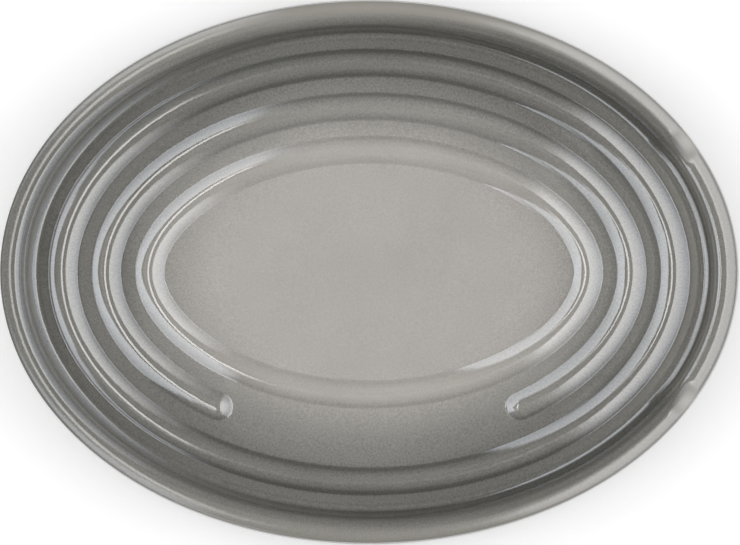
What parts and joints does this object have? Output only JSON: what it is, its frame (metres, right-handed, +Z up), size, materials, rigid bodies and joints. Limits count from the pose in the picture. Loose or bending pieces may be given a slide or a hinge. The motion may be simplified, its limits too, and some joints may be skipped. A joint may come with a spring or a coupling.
{
  "type": "spoon rest",
  "caption": "Oval glazed stoneware spoon rest with raised ribs running parallel to its rim, a rim that dips at one end for the handle, and a bare foot ring.",
  "frame": {"origin": "middle of the footprint on the table, under the foot ring", "axes": "+X along the length towards the handle notch, +Y towards the back, +Z up"},
  "size_m": [0.1599, 0.118, 0.0205],
  "materials": {
    "stoneware": "bare fired stoneware, matte, fine grained",
    "glaze": "glossy warm grey glaze, dark at the rim and light in the well, thin and beige on the ribs",
    "base_glaze": "glossy grey glaze, plain"
  },
  "bodies": {
    "root": {"stoneware_body": "stoneware", "glaze_coat": "glaze", "base_glaze": "base_glaze"}
  },
  "joints": []
}
